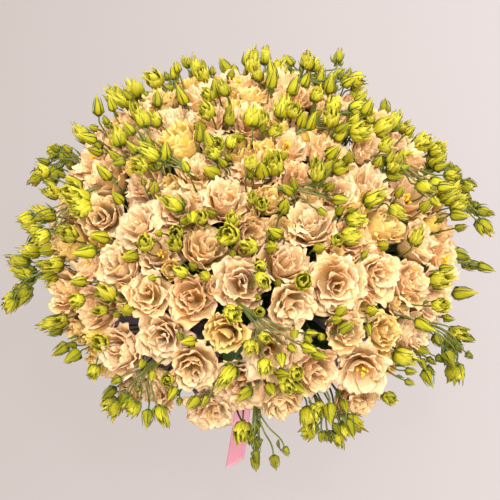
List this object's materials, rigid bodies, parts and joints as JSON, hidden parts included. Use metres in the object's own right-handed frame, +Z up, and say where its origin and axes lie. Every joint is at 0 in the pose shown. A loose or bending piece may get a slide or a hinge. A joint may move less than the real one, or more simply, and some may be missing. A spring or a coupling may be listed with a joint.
{
  "type": "lisianthus bouquet",
  "caption": "Domed hand-tied bouquet of peach double lisianthus with green buds, a mauve paper collar and a pink satin ribbon, standing on its splayed cut stems.",
  "frame": {"origin": "middle of the centre stem's cut end, on the surface that the bouquet stands on", "axes": "+Z up along the bouquet's axis, -Y to the front where the ribbon's tails fall, +X to the right seen from the front"},
  "size_m": [0.6053, 0.594, 0.4729],
  "materials": {
    "lisianthus": "soft matt petals, peach with cream and light brown edges, on green stems with yellow-green buds",
    "paper": "matt mauve wrapping paper with soft creases",
    "ribbon": "pink satin with a soft sheen along its length"
  },
  "bodies": {
    "root": {"lisianthus_01": "lisianthus", "lisianthus_02": "lisianthus", "lisianthus_03": "lisianthus", "lisianthus_04": "lisianthus", "lisianthus_05": "lisianthus", "lisianthus_06": "lisianthus", "lisianthus_07": "lisianthus", "lisianthus_08": "lisianthus", "lisianthus_09": "lisianthus", "lisianthus_10": "lisianthus", "lisianthus_11": "lisianthus", "lisianthus_12": "lisianthus", "lisianthus_13": "lisianthus", "lisianthus_14": "lisianthus", "lisianthus_15": "lisianthus", "lisianthus_16": "lisianthus", "lisianthus_17": "lisianthus", "lisianthus_18": "lisianthus", "lisianthus_19": "lisianthus", "lisianthus_20": "lisianthus", "lisianthus_21": "lisianthus", "lisianthus_22": "lisianthus", "lisianthus_23": "lisianthus", "lisianthus_24": "lisianthus", "lisianthus_25": "lisianthus", "paper_collar": "paper", "ribbon": "ribbon"}
  },
  "joints": []
}
